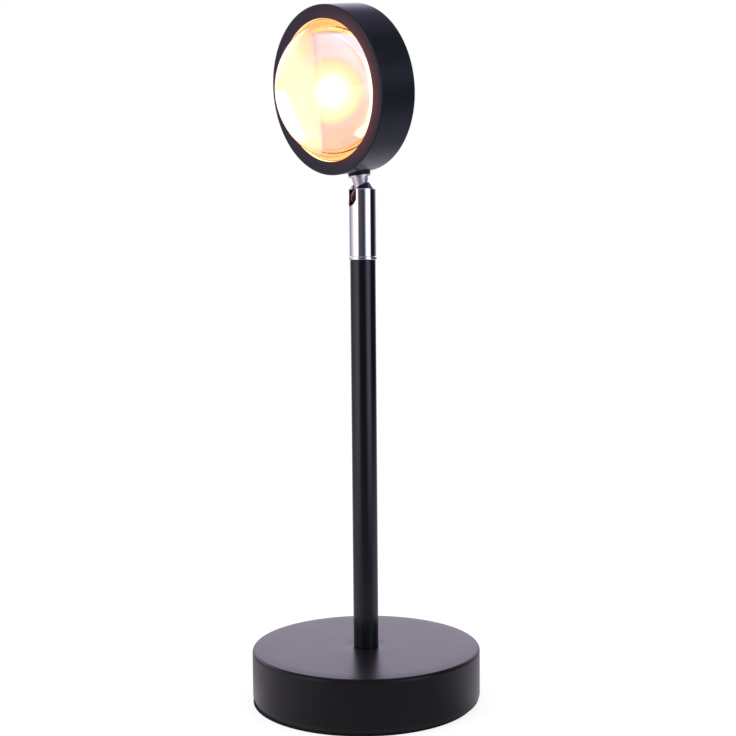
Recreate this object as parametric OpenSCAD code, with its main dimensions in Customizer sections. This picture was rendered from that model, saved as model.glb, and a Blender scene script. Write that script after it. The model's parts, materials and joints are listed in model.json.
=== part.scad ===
// Table projection lamp: a weighted drum base, a straight post, a slotted ball
// swivel and a flat round head with a strongly domed lens. Millimetres, +Z up,
// origin on the table under the centre of the base. The lens faces -Y and the
// supply lead goes in at +Y.

/* [Base] */
// Outside radius of the base drum
base_r = 47.4; // [42:0.1:60]
// Height of the base's top face above the table
base_h = 23; // [20:0.5:32]
// Thickness of the drum's pressed steel
shell_wall = 1.2; // [0.9:0.1:2]
// Radius of the drum's rounded top edge
shell_fillet = 1.4; // [0.5:0.1:2.2]
// Depth of the shallow dish that the tightened post presses into the top
dish_depth = 0.3; // [0.1:0.05:0.5]
// Outside radius of that dish
dish_r = 13; // [9:0.5:20]
// Width of the dish's flat bottom, round the post
dish_flat = 1; // [0.4:0.1:2]
// Rounding of the drum's lower edge
lower_edge_r = 0.2; // [0.1:0.05:0.4]
// Thickness of the foam pad
pad_t = 1.4; // [1:0.1:3]
// How far the pad's edge stands in from the drum's wall
pad_inset = 1; // [0.9:0.1:3]
// How far off centre the pad is stuck
pad_shift = 0.9; // [0:0.1:0.9]
// Thickness of the steel plate that closes the base
plate_t = 1.6; // [1.5:0.1:2.5]
// How far the plate's edge stands in from the drum's wall
plate_inset = 0.5; // [0.2:0.1:1]
// Height of the plate's locating rim above the plate
rim_h = 1.1; // [0.6:0.1:1.2]
// Thickness of the locating rim
rim_t = 1; // [0.8:0.1:2]

/* [Ballast] */
// Gap between ballast and drum
ballast_gap = 0.8; // [0.3:0.1:3]
// Radius of the circle on which the ballast's feet stand
foot_circle_r = 32; // [24:0.5:38]
// Radius of a foot
foot_r = 4.5; // [3.5:0.1:6]
// Number of feet, each with one plate screw
foot_count = 3; // [3:1:4]
// Length of a plate screw under its head
plate_screw_len = 8; // [5:0.5:9]

/* [Post] */
// Outside radius of the post
post_r = 5.2; // [4.9:0.1:5.6]
// Height of the post from the dish to the swivel collar
post_len = 160.7; // [100:0.1:240]
// Outside radius of the hollow threaded nipple
nipple_r = 4; // [3.6:0.1:4.2]
// Radius of the wire bore through the nipple
nipple_bore_r = 2.75; // [2.4:0.05:3]
// How far the nipple is screwed up into the post
nipple_grip = 18; // [10:1:40]
// How far the nipple stands out below its nut
nipple_tail = 1; // [0.5:0.1:1.4]
// Thickness of the nut
nut_t = 3; // [2:0.1:3.2]
// Nut size across its flats
nut_af = 12; // [11.5:0.5:16]
// Radius of the washer under the ballast
washer_r = 10; // [8:0.5:16]
// Thickness of that washer
washer_t = 1.2; // [0.8:0.1:1.4]

/* [Lead] */
// Radius of the grommet's bore for the supply lead
inlet_r = 1.8; // [1.5:0.05:2.2]
// Radius of the grommet's waist in the drum's wall
grommet_waist_r = 3.2; // [2.8:0.1:3.6]
// Radius of the grommet's outer flange
grommet_flange_r = 4.5; // [4:0.1:5]
// Radius of the grommet's inner flange
grommet_lock_r = 4; // [3.7:0.05:4.1]
// Thickness of each flange
grommet_flange_t = 1.4; // [1:0.1:2]
// Gap above and below the inner flange, to the ballast and the plate's rim
grommet_gap = 0.35; // [0.1:0.05:1]
// Radius of one lamp wire in the post
wire_r = 0.7; // [0.4:0.05:0.75]
// Half the distance between the two wires in the post
wire_half_gap = 1.1; // [0.9:0.05:1.2]
// Radius of the wires' bend under the nipple
wire_bend_r = 3; // [2:0.1:5]
// Outside radius of a splice sleeve
splice_r = 1.25; // [1.1:0.05:1.4]
// Length of a splice sleeve
splice_len = 10; // [6:0.5:12]
// Distance between the two splices
splice_gap = 2; // [0.5:0.1:4]
// Distance from the drum's wall to the nearer splice
splice_wall_gap = 10.2; // [6:0.1:12]
// Length of wire inside a splice
splice_hold = 6; // [3:0.1:6]

/* [Swivel] */
// Radius of the collar under the sleeve
collar_r = 5.75; // [5.6:0.05:7]
// Thickness of the collar
collar_t = 1.2; // [0.8:0.1:3]
// Length of the insert's end inside the post
insert_grip = 8; // [5:0.5:15]
// Radius of the spigot that the sleeve turns on
spigot_r = 4.2; // [4:0.05:4.3]
// Height of the spigot above the collar
spigot_len = 8; // [7.6:0.1:9]
// Radius of the wire bore through the insert
insert_bore_r = 2.5; // [2.3:0.05:2.8]
// Outside radius of the chromed sleeve
sleeve_r = 5.5; // [5.4:0.05:7]
// Length of the sleeve
sleeve_len = 29.9; // [28:0.1:45]
// Length of the sleeve's bearing on the spigot
bearing_len = 6; // [5:0.1:6.2]
// Height of the sleeve's conical shoulder
shoulder_h = 2.6; // [2.3:0.1:3]
// Radius of the opening in the shoulder
mouth_r = 3.3; // [3.2:0.05:3.5]
// Width of the shoulder's narrow top edge
mouth_lip = 0.2; // [0.1:0.05:0.4]
// Height of the sleeve's top above the ball's centre
socket_h = 6.2; // [6:0.1:6.5]
// Half the width of the slot
slot_half = 3.35; // [3.2:0.05:3.6]
// Angle of the slot from the way the lens faces
slot_turn = 15.5; // [-60:0.5:60]
// Radius of the stop pin
stop_pin_r = 0.6; // [0.4:0.05:0.7]
// Height of the stop pin above the collar
stop_pin_h = 3; // [2:0.1:4]
// Depth of the stop pin's hole in the spigot
stop_pin_depth = 1.2; // [0.8:0.1:1.5]
// Half angle of the wall that the stop pin meets
stop_half_angle = 4; // [2:0.5:10]
// Thickness of a snap ring
clip_t = 0.6; // [0.4:0.05:0.8]
// Depth of the groove that holds a snap ring
clip_groove = 0.45; // [0.3:0.05:0.6]
// Width of the gap in the snap ring on the spigot
clip_opening = 1.6; // [0.8:0.1:3]

/* [Ball and spring] */
// Radius of the ball
ball_r = 4.65; // [4.5:0.05:4.7]
// Depth of the recess for the snap ring, from the ball's centre down
ball_recess_h = 2.2; // [2:0.05:2.4]
// Radius of that recess
recess_r = 3.3; // [3:0.05:3.5]
// Wire radius of the spring
spring_wire_r = 0.35; // [0.25:0.05:0.45]
// Radius of the spring's wire path
spring_r = 4; // [3.6:0.05:4.2]
// Turns of the spring
spring_turns = 4; // [3:0.5:6]
// Thickness of the washer under the spring
thrust_t = 0.8; // [0.5:0.1:1.5]
// Height of the ball's seat
seat_h = 3.6; // [2.5:0.1:5]
// Distance from the ball's centre down to the seat's top edge
seat_drop = 3.4; // [3.4:0.05:3.8]
// Radius of the wire bore through the seat
seat_bore_r = 2.4; // [2:0.05:2.6]

/* [Neck] */
// Angle by which the head leans along the slot
rest_tilt = 7.3; // [0:0.1:60]
// Radius of the stud's spigot inside the ball
stud_spigot_r = 2.1; // [2:0.05:2.2]
// Radius of the neck where it leaves the ball
neck_low_r = 2.6; // [2.5:0.05:2.65]
// Radius of the neck under its flange
neck_top_r = 3.4; // [3:0.05:3.6]
// Height above the ball's centre where the taper starts
taper_start = 5; // [4.5:0.1:5.5]
// Height above the ball's centre where the taper ends
taper_end = 8; // [7.5:0.1:8.4]
// Height of the flange's underside above the ball's centre
flange_h = 8.6; // [8.5:0.1:10]
// Radius of the flange
flange_r = 4.5; // [4:0.1:4.8]
// Thickness of the flange
flange_t = 0.8; // [0.6:0.1:1.5]
// Thickness of the saddle washer at its middle
saddle_t = 1; // [0.6:0.1:2]
// Radius of the stud's thread in the head
stud_thread_r = 2.5; // [2:0.1:2.8]
// Radius of the wire bore through the stud
stud_bore_r = 1.3; // [1.2:0.05:1.5]
// Length of the stud below its snap ring
stud_tail = 0.35; // [0.2:0.05:0.5]
// Width of the gap in the stud's snap ring
stud_clip_opening = 1.2; // [0.8:0.1:2]

/* [Head] */
// Outside radius of the head
head_r = 33.2; // [30:0.1:45]
// Depth of the head from its front ring to its back
head_depth = 17.6; // [17.2:0.1:24]
// Thickness of the head's round wall
head_wall = 2; // [1.6:0.1:2.4]
// Thickness of the front ring
lip_t = 2; // [1.4:0.1:2.3]
// Radius of the front opening
aperture_r = 27.8; // [25:0.1:29.5]
// Radius of the rounded outer edges
head_fillet = 0.5; // [0.2:0.05:0.8]
// Distance from the front ring back to the neck's axis
neck_setback = 12.6; // [12.2:0.1:12.8]
// Length of the threaded boss inside the wall
boss_len = 5; // [4:0.1:5.4]
// Half the width of the threaded boss
boss_half = 3.6; // [3.3:0.1:6]
// Thickness of the rear cover
cover_t = 1.6; // [1.4:0.1:2]
// Width of the ledge that the rear cover sits on
ledge_w = 0.7; // [0.4:0.05:0.9]
// Distance of the cover screws from the head's wall, outside to axis
lug_inset = 4.8; // [4.6:0.1:5]
// Radius of the lugs that hold the cover screws
lug_r = 2.8; // [2.2:0.1:3]
// Length of the lugs
lug_len = 5.8; // [4:0.1:6.2]
// Number of lugs, each with one cover screw
lug_count = 3; // [3:2:5]

/* [Light] */
// Height of the lens's dome above its rim
dome_h = 19; // [10:0.5:24]
// Thickness of the lens's rim
lens_rim_t = 2; // [1.5:0.1:2.3]
// Thickness of the gasket behind the lens
gasket_t = 0.8; // [0.5:0.1:1]
// Width of the gasket
gasket_w = 2.5; // [1.5:0.1:3]
// Thickness of the colour filter
filter_t = 1; // [0.7:0.1:1.3]
// Thickness of the light chamber's flange
chamber_flange_t = 1; // [0.8:0.1:1.2]
// Width of the light chamber's flange
chamber_flange_w = 3.6; // [3:0.1:4.5]
// Radius of the light chamber's narrow end
throat_r = 13; // [12:0.5:14]
// Wall of the light chamber, along the head's axis
chamber_wall = 0.9; // [0.6:0.1:1.1]
// Radius of the LED board
board_r = 20.5; // [19.5:0.1:22]
// Thickness of the LED board
board_t = 1.6; // [1:0.1:2]
// Thickness of the rear cover's pad under the board
cover_pad_t = 1.4; // [1.2:0.1:2]
// Width of that pad outside the board
cover_pad_rim = 0.5; // [0.1:0.1:1.5]
// Side of the LED chip
chip_w = 9; // [6:0.5:10]
// Thickness of the LED chip's plate
chip_t = 0.6; // [0.4:0.1:1.2]
// Radius of its round phosphor patch
phosphor_r = 3.6; // [2:0.1:3.8]
// Height of that patch over the plate
phosphor_t = 0.4; // [0.2:0.1:0.6]
// Distance of the board screws from the middle of the board
board_screw_at = 9.5; // [9:0.1:10.5]
// Radius of one wire in the head
head_wire_r = 0.5; // [0.4:0.05:0.55]
// Gap between the two wires in the head
head_wire_gap = 0.2; // [0.1:0.05:0.3]
// Distance between the wires' ends and the light chamber
head_wire_clear = 1; // [0.5:0.1:3]

/* [Screws and clearances] */
// Thread radius of the plate screws
plate_screw_r = 1.5; // [1:0.1:2]
// Thread radius of the cover screws
cover_screw_r = 1.25; // [1:0.05:1.3]
// Length of the cover screws
cover_screw_len = 6; // [4:0.5:7]
// Thread radius of the board screws
board_screw_r = 1; // [0.8:0.05:1.2]
// Rise of a screw's head over its thread
screw_head_rise = 1.1; // [0.9:0.05:1.2]
// Overhang of the board screws' heads
board_screw_overhang = 0.9; // [0.6:0.1:1.2]
// Length of the board screws in the rear cover
board_screw_grip = 1; // [0.7:0.1:1.1]
// Width of a screw's cross recess, as a share of its head's radius
cross_width = 0.22; // [0.15:0.01:0.3]
// Reach of the cross recess, as a share of its head's radius
cross_reach = 0.6; // [0.4:0.05:0.7]
// Radial clearance of threads and pressed joints
thread_clear = 0.05; // [0.03:0.01:0.08]
// Clearance of pieces that turn on each other
run_clear = 0.06; // [0.04:0.01:0.1]
// Clearance of pieces that slide in the sleeve's bore
slide_clear = 0.15; // [0.1:0.01:0.2]
// Clearance round the ball
ball_clear = 0.1; // [0.06:0.01:0.15]
// Clearance of a bolt or a pushed-in disc in its hole
fit_clear = 0.2; // [0.1:0.05:0.3]

/* [Hidden] */
$fn = 96;
// Overlap that lets one cut run past a face
past = 1;
// Overlap that joins two shapes of one piece
fuse = 0.5;

// Base, from the table up. The hollow under the ballast holds the grommet's
// inner flange, and the ballast fills what is left
plate_top = pad_t + plate_t;
grommet_z = plate_top + rim_h + grommet_gap + grommet_lock_r;
ballast_bottom = grommet_z + grommet_lock_r + grommet_gap;
ballast_t = base_h - shell_wall - ballast_bottom;
washer_bottom = ballast_bottom - washer_t;
nut_bottom = washer_bottom - nut_t;
nipple_bottom = nut_bottom - nipple_tail;
drum_in_r = base_r - shell_wall;
rim_out_r = drum_in_r - fit_clear;
post_bottom = base_h - dish_depth;
post_top = post_bottom + post_len;
post_bore_r = nipple_r + thread_clear;
nipple_hole_r = nipple_r + fit_clear;
// Direction in which the pad is off centre, seen from above
pad_shift_dir = 228;
foot_first_angle = 30;

// Lead
grommet_lock_y = sqrt(pow(drum_in_r, 2) - pow(grommet_lock_r, 2));
wire_run_z = (plate_top + nipple_bottom) / 2;
wire_bend_top = wire_run_z + wire_bend_r;
splice_start = drum_in_r - splice_wall_gap - 2 * splice_len - splice_gap;

// Swivel
sleeve_bottom = post_top + collar_t;
sleeve_top = sleeve_bottom + sleeve_len;
ball_z = sleeve_top - socket_h;
socket_r = ball_r + ball_clear;
insert_top = sleeve_bottom + spigot_len;
clip_bottom = sleeve_bottom + bearing_len + run_clear;
clip_r = socket_r - fit_clear;
stop_groove_r = (spigot_r + sleeve_r) / 2;
stop_groove_half = stop_pin_r + fit_clear;
thrust_bottom = insert_top + run_clear;
thrust_top = thrust_bottom + thrust_t;
slide_r = socket_r - slide_clear;
seat_top = ball_z - seat_drop;
seat_bottom = seat_top - seat_h;
// The wires end in the spring, half way up it
wire_top = (thrust_top + seat_bottom) / 2;
// Sides of the spring's wire
spring_sides = 6;

// Neck, from the ball's centre up
ball_flat = sqrt(pow(ball_r, 2) - pow(neck_low_r, 2));
stud_clip_top = -ball_recess_h - run_clear;
stud_clip_bottom = stud_clip_top - clip_t;
stud_bottom = stud_clip_bottom - stud_tail;
saddle_bottom = flange_h + flange_t;
drum_low = saddle_bottom + saddle_t;
head_up = drum_low + head_r;
boss_in_r = head_r - head_wall - boss_len;
stud_top = head_up - boss_in_r;

// Head, from the front ring back
drum_bore_r = head_r - head_wall;
disc_r = drum_bore_r - fit_clear;
lens_back = lip_t + lens_rim_t;
filter_front = lens_back + gasket_t;
chamber_front = filter_front + filter_t;
cover_seat = head_depth - cover_t;
pad_front = cover_seat - cover_pad_t;
board_front = pad_front - board_t;
dome_r = aperture_r - fit_clear;
dome_ball_r = (pow(dome_r, 2) + pow(dome_h, 2)) / (2 * dome_h);
chamber_mouth_r = disc_r - chamber_flange_w;
chamber_slope = (chamber_mouth_r - throat_r) / (board_front - chamber_front);
lug_circle_r = head_r - lug_inset;
lug_first_angle = -90;
cover_r = drum_bore_r + ledge_w - fit_clear;
head_wire_x = head_wire_r + head_wire_gap / 2;
head_wire_depth = board_front - head_wire_r;
head_wire_start = stud_bottom + fit_clear;
// The wires' ends on the board, outside the light chamber
head_wire_end_r = throat_r + chamber_slope * (2 * head_wire_r + chamber_wall) + head_wire_clear;

// A washer or tube between two heights
module tube(outer, inner, low, high) {
    difference() {
        translate([0, 0, low]) cylinder(r = outer, h = high - low);
        translate([0, 0, low - past]) cylinder(r = inner, h = high - low + 2 * past);
    }
}

// A solid drum whose outer edges are rounded, front at z = 0
module rounded_drum(r, h, front, back) {
    rotate_extrude() {
        translate([0, front]) square([r, h - front - back]);
        square([r - front, h - back]);
        translate([0, h - back - front]) square([r - back, back + front]);
        translate([r - front, front]) circle(front);
        translate([r - back, h - back]) circle(back);
    }
}

// A flat-headed screw: head flush with z = 0, thread towards +z
module flat_screw(r, len) {
    head = r + screw_head_rise;
    difference() {
        union() {
            cylinder(r1 = head, r2 = r, h = screw_head_rise);
            cylinder(r = r, h = len);
        }
        for (turn = [0, 90])
            rotate([0, 0, turn])
                translate([-head * cross_reach, -head * cross_width / 2, -past])
                    cube([2 * head * cross_reach, head * cross_width,
                          past + screw_head_rise * cross_reach]);
    }
}

// The hole that takes a flat-headed screw
module flat_screw_hole(r, len) {
    head = r + screw_head_rise;
    translate([0, 0, -past]) cylinder(r = head + thread_clear, h = past + thread_clear);
    translate([0, 0, thread_clear])
        cylinder(r1 = head + thread_clear, r2 = r + thread_clear, h = screw_head_rise);
    cylinder(r = r + thread_clear, h = len);
}

// Copies on the circle of the ballast's feet
module at_feet() {
    for (i = [0 : foot_count - 1])
        rotate([0, 0, foot_first_angle + i * 360 / foot_count])
            translate([foot_circle_r, 0, 0]) children();
}

// From the ball's centre, leaning with the head
module on_neck() {
    translate([0, 0, ball_z])
        rotate([0, 0, -slot_turn]) rotate([rest_tilt, 0, 0]) rotate([0, 0, slot_turn])
            children();
}

// From the middle of the front ring: z runs back into the head, y runs down
module in_drum() {
    on_neck() translate([0, -neck_setback, head_up]) rotate([-90, 0, 0]) children();
}

// Copies at the lugs of the rear cover's screws, clear of the neck's boss
module at_lugs() {
    for (i = [0 : lug_count - 1])
        rotate([0, 0, lug_first_angle + i * 360 / lug_count])
            translate([lug_circle_r, 0, 0]) children();
}

module base_pad() {
    color("dimgray")
        rotate([0, 0, pad_shift_dir]) translate([pad_shift, 0, 0])
            cylinder(r = base_r - pad_inset, h = pad_t);
}

module base_plate() {
    color("#1c1b1f") difference() {
        union() {
            translate([0, 0, pad_t]) cylinder(r = base_r - plate_inset, h = plate_t);
            tube(rim_out_r, rim_out_r - rim_t, plate_top, plate_top + rim_h);
        }
        at_feet() translate([0, 0, pad_t]) flat_screw_hole(plate_screw_r, plate_t + past);
    }
}

module base_plate_screws() {
    color("silver")
        at_feet() translate([0, 0, pad_t]) flat_screw(plate_screw_r, plate_screw_len);
}

module base_shell() {
    color("#262428") difference() {
        translate([0, 0, base_h]) mirror([0, 0, 1])
            rounded_drum(base_r, base_h - plate_top, shell_fillet, lower_edge_r);
        translate([0, 0, plate_top - past])
            cylinder(r = drum_in_r, h = base_h - plate_top - shell_wall + past);
        translate([0, 0, post_bottom]) {
            cylinder(r1 = post_r + dish_flat, r2 = dish_r, h = dish_depth);
            translate([0, 0, dish_depth]) cylinder(r = dish_r, h = past);
        }
        translate([0, 0, plate_top]) cylinder(r = nipple_hole_r, h = base_h);
        translate([0, base_r / 2, grommet_z]) rotate([-90, 0, 0])
            cylinder(r = grommet_waist_r + thread_clear, h = base_r);
    }
}

module ballast() {
    color("#4a4a4c") difference() {
        union() {
            translate([0, 0, ballast_bottom])
                cylinder(r = drum_in_r - ballast_gap, h = ballast_t);
            at_feet() translate([0, 0, plate_top])
                cylinder(r = foot_r, h = ballast_bottom - plate_top + past);
        }
        cylinder(r = nipple_hole_r, h = base_h);
        at_feet() translate([0, 0, pad_t])
            cylinder(r = plate_screw_r + thread_clear, h = plate_screw_len + past);
    }
}

module stem_nipple() {
    color("goldenrod")
        tube(nipple_r, nipple_bore_r, nipple_bottom, post_bottom + nipple_grip);
}

module stem_washer() {
    color("silver") tube(washer_r, nipple_hole_r, washer_bottom, ballast_bottom);
}

module stem_nut() {
    color("silver") difference() {
        translate([0, 0, nut_bottom])
            cylinder(r = nut_af / 2 / cos(30), h = nut_t, $fn = 6);
        translate([0, 0, nut_bottom - past])
            cylinder(r = nipple_r + thread_clear, h = nut_t + 2 * past);
    }
}

module stem_tube() {
    color("#1d1c20") tube(post_r, post_bore_r, post_bottom, post_top);
}

module cable_grommet() {
    color("#18181a")
        translate([0, 0, grommet_z]) rotate([-90, 0, 0]) difference() {
            union() {
                translate([0, 0, base_r])
                    cylinder(r = grommet_flange_r, h = grommet_flange_t);
                translate([0, 0, grommet_lock_y - grommet_flange_t])
                    cylinder(r = grommet_waist_r, h = base_r - grommet_lock_y + 2 * grommet_flange_t);
                translate([0, 0, grommet_lock_y - grommet_flange_t])
                    cylinder(r = grommet_lock_r, h = grommet_flange_t);
            }
            translate([0, 0, drum_in_r / 2]) cylinder(r = inlet_r, h = base_r);
        }
}

// Where each of the two splices starts, one behind the other
function splice_at(i) = splice_start + i * (splice_len + splice_gap);

module lead_splices() {
    color("firebrick")
        for (i = [0, 1])
            translate([(1 - 2 * i) * wire_half_gap, 0, wire_run_z]) rotate([-90, 0, 0])
                tube(splice_r, wire_r + thread_clear, splice_at(i), splice_at(i) + splice_len);
}

module lead_wires() {
    color("#b9312f")
        for (i = [0, 1])
            translate([(1 - 2 * i) * wire_half_gap, 0, 0]) {
                translate([0, 0, wire_bend_top])
                    cylinder(r = wire_r, h = wire_top - wire_bend_top);
                translate([0, wire_bend_r, wire_bend_top]) rotate([0, 90, 0])
                    rotate([0, 0, -90]) rotate_extrude(angle = 90)
                        translate([wire_bend_r, 0]) circle(wire_r);
                translate([0, wire_bend_r, wire_run_z]) rotate([-90, 0, 0])
                    cylinder(r = wire_r, h = splice_at(i) + splice_hold - wire_bend_r);
            }
}

module swivel_insert() {
    color("gainsboro") difference() {
        union() {
            translate([0, 0, post_top - insert_grip])
                cylinder(r = post_bore_r - thread_clear, h = insert_grip + fuse);
            translate([0, 0, post_top]) cylinder(r = collar_r, h = collar_t);
            translate([0, 0, post_top]) cylinder(r = spigot_r, h = collar_t + spigot_len);
        }
        translate([0, 0, post_top - insert_grip - past])
            cylinder(r = insert_bore_r, h = insert_grip + collar_t + spigot_len + 2 * past);
        tube(spigot_r + past, spigot_r - clip_groove, clip_bottom - thread_clear,
             clip_bottom + clip_t + thread_clear);
        translate([0, spigot_r - stop_pin_depth, sleeve_bottom + stop_pin_h]) rotate([-90, 0, 0])
            cylinder(r = stop_pin_r + thread_clear / 2, h = stop_pin_depth + past);
    }
}

module swivel_clip() {
    color("dimgray")
        difference() {
            tube(clip_r, spigot_r - clip_groove + thread_clear, clip_bottom, clip_bottom + clip_t);
            translate([-clip_opening / 2, 0, clip_bottom - past])
                cube([clip_opening, clip_r + past, clip_t + 2 * past]);
        }
}

module stop_pin() {
    color("dimgray")
        translate([0, spigot_r - stop_pin_depth, sleeve_bottom + stop_pin_h]) rotate([-90, 0, 0])
            cylinder(r = stop_pin_r, h = stop_groove_r - fit_clear - spigot_r + stop_pin_depth);
}

// The groove that the stop pin runs in, open all round but for its end wall
module stop_groove() {
    translate([0, 0, sleeve_bottom + stop_pin_h - stop_groove_half])
        rotate([0, 0, -90 + stop_half_angle])
            rotate_extrude(angle = 360 - 2 * stop_half_angle)
                translate([spigot_r - past, 0])
                    square([stop_groove_r - spigot_r + past, 2 * stop_groove_half]);
}

// The slot that the neck tilts into, round at its lower end
module neck_slot() {
    translate([0, 0, ball_z]) rotate([0, 0, -slot_turn]) {
        rotate([90, 0, 0]) cylinder(r = slot_half, h = sleeve_r + past);
        translate([-slot_half, -sleeve_r - past, 0])
            cube([2 * slot_half, sleeve_r + past, socket_h + past]);
    }
}

module swivel_sleeve() {
    color("silver") difference() {
        translate([0, 0, sleeve_bottom]) {
            cylinder(r = sleeve_r, h = sleeve_len - shoulder_h);
            translate([0, 0, sleeve_len - shoulder_h])
                cylinder(r1 = sleeve_r, r2 = mouth_r + mouth_lip, h = shoulder_h);
        }
        translate([0, 0, sleeve_bottom - past])
            cylinder(r = spigot_r + run_clear, h = bearing_len + 2 * past);
        translate([0, 0, sleeve_bottom + bearing_len])
            cylinder(r = socket_r, h = ball_z - sleeve_bottom - bearing_len);
        translate([0, 0, ball_z]) sphere(r = socket_r);
        translate([0, 0, ball_z]) cylinder(r = mouth_r, h = socket_h + past);
        stop_groove();
        neck_slot();
    }
}

module thrust_washer() {
    color("ivory") tube(slide_r, insert_bore_r, thrust_bottom, thrust_top);
}

// One ring of points round the spring's wire, ring i of the helix
function helix_ring(i, steps, low, high) =
    let (turn = 360 * spring_turns * i / steps, z = low + (high - low) * i / steps)
    [for (k = [0 : spring_sides - 1])
        let (side = (k + 0.5) * 360 / spring_sides, r = spring_r + spring_wire_r * cos(side))
        [r * cos(turn), r * sin(turn), z + spring_wire_r * sin(side)]];

// One unbroken tube of round wire along a helix, with flat ends
module friction_spring() {
    n = spring_sides;
    steps = 24 * spring_turns;
    low = thrust_top + spring_wire_r;
    high = seat_bottom - spring_wire_r;
    last = n * steps;
    points = [for (i = [0 : steps]) each helix_ring(i, steps, low, high)];
    sides = [for (i = [0 : steps - 1], k = [0 : n - 1])
        let (a = n * i + k, b = n * i + (k + 1) % n) each [[a, a + n, b + n], [a, b + n, b]]];
    ends = [for (k = [1 : n - 2]) each [[0, k, k + 1], [last, last + k + 1, last + k]]];
    echo("spring, least gap between turns", (high - low) / spring_turns - 2 * spring_wire_r);
    color("lightgray") polyhedron(points = points, faces = concat(sides, ends));
}

module friction_seat() {
    color("ivory") difference() {
        tube(slide_r, seat_bore_r, seat_bottom, seat_top);
        translate([0, 0, ball_z]) sphere(r = socket_r);
    }
}

module swivel_ball() {
    color("#3b2626") on_neck() difference() {
        sphere(r = ball_r);
        translate([0, 0, ball_flat]) cylinder(r = ball_r, h = ball_r);
        translate([0, 0, -ball_r - past])
            cylinder(r = stud_spigot_r + run_clear, h = 2 * ball_r + 2 * past);
        translate([0, 0, -ball_r - past])
            cylinder(r = recess_r, h = ball_r + past - ball_recess_h);
    }
}

module neck_stud() {
    color("gainsboro") on_neck() difference() {
        union() {
            translate([0, 0, stud_bottom])
                cylinder(r = stud_spigot_r, h = flange_h - stud_bottom);
            translate([0, 0, ball_flat + run_clear])
                cylinder(r = neck_low_r, h = taper_start - ball_flat);
            translate([0, 0, taper_start])
                cylinder(r1 = neck_low_r, r2 = neck_top_r, h = taper_end - taper_start);
            translate([0, 0, taper_end]) cylinder(r = neck_top_r, h = saddle_bottom - taper_end);
            translate([0, 0, flange_h]) cylinder(r = flange_r, h = flange_t);
            translate([0, 0, flange_h])
                cylinder(r = stud_thread_r, h = stud_top - flange_h);
        }
        translate([0, 0, stud_bottom - past])
            cylinder(r = stud_bore_r, h = stud_top - stud_bottom + 2 * past);
        tube(stud_spigot_r + past, stud_spigot_r - clip_groove,
             stud_clip_bottom - thread_clear, stud_clip_top + thread_clear);
    }
}

module stud_clip() {
    color("dimgray") on_neck() difference() {
        tube(recess_r - fit_clear, stud_spigot_r - clip_groove + thread_clear,
             stud_clip_bottom, stud_clip_top);
        translate([-stud_clip_opening / 2, 0, stud_clip_bottom - past])
            cube([stud_clip_opening, recess_r, clip_t + 2 * past]);
    }
}

module saddle_washer() {
    color("#18181a") difference() {
        on_neck() tube(flange_r, stud_thread_r + fit_clear, saddle_bottom, drum_low + past);
        in_drum() translate([0, 0, -head_depth])
            cylinder(r = head_r, h = 3 * head_depth, $fn = 720);
    }
}

module head_shell() {
    color("#232228") difference() {
        in_drum() {
            difference() {
                rounded_drum(head_r, head_depth, head_fillet, head_fillet);
                translate([0, 0, lip_t]) cylinder(r = drum_bore_r, h = head_depth);
                translate([0, 0, cover_seat])
                    cylinder(r = drum_bore_r + ledge_w, h = cover_t + past);
                translate([0, 0, -past]) cylinder(r = aperture_r, h = lip_t + 2 * past);
            }
            intersection() {
                union() {
                    translate([-boss_half, boss_in_r, neck_setback - boss_half])
                        cube([2 * boss_half, boss_len + past, cover_seat - neck_setback + boss_half]);
                    at_lugs() translate([0, 0, cover_seat - lug_len]) {
                        cylinder(r = lug_r, h = lug_len);
                        translate([0, -lug_r, 0]) cube([lug_inset, 2 * lug_r, lug_len]);
                    }
                }
                cylinder(r = drum_bore_r + head_wall / 2, h = head_depth);
            }
        }
        on_neck() translate([0, 0, drum_low - past])
            cylinder(r = stud_thread_r + thread_clear, h = stud_top - drum_low + 2 * past);
        in_drum() at_lugs() translate([0, 0, head_depth - cover_screw_len - fuse])
            cylinder(r = cover_screw_r + thread_clear, h = cover_screw_len);
    }
}

module lens() {
    color([1, 0.86, 0.55, 0.6]) in_drum() {
        translate([0, 0, lip_t]) cylinder(r = disc_r, h = lens_rim_t);
        intersection() {
            translate([0, 0, lip_t - dome_h + dome_ball_r]) sphere(r = dome_ball_r, $fn = 180);
            translate([0, 0, lip_t - dome_h - past])
                cylinder(r = dome_r, h = dome_h + past + lens_rim_t / 2);
        }
    }
}

module lens_gasket() {
    color("#18181a") in_drum() tube(disc_r, disc_r - gasket_w, lens_back, filter_front);
}

module colour_filter() {
    color([1, 0.55, 0.3, 0.5]) in_drum()
        translate([0, 0, filter_front]) cylinder(r = disc_r, h = filter_t);
}

module light_chamber() {
    color("white") in_drum() rotate_extrude() polygon([
        [chamber_mouth_r, chamber_front],
        [disc_r, chamber_front],
        [disc_r, chamber_front + chamber_flange_t],
        [chamber_mouth_r, chamber_front + chamber_flange_t],
        [throat_r + chamber_slope * chamber_wall, board_front],
        [throat_r, board_front]
    ]);
}

// Copies at the two screws that hold the LED board
module at_board_screws() {
    for (side = [-1, 1]) translate([side * board_screw_at, 0, 0]) children();
}

module led_board() {
    color("whitesmoke") in_drum() difference() {
        translate([0, 0, board_front]) cylinder(r = board_r, h = board_t);
        at_board_screws() translate([0, 0, board_front - past])
            cylinder(r = board_screw_r + thread_clear, h = board_t + 2 * past);
    }
}

module led_chip() {
    color("gold") in_drum() translate([0, 0, board_front]) {
        translate([-chip_w / 2, -chip_w / 2, -chip_t]) cube([chip_w, chip_w, chip_t]);
        translate([0, 0, -chip_t - phosphor_t]) cylinder(r = phosphor_r, h = phosphor_t + chip_t / 2);
    }
}

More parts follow.
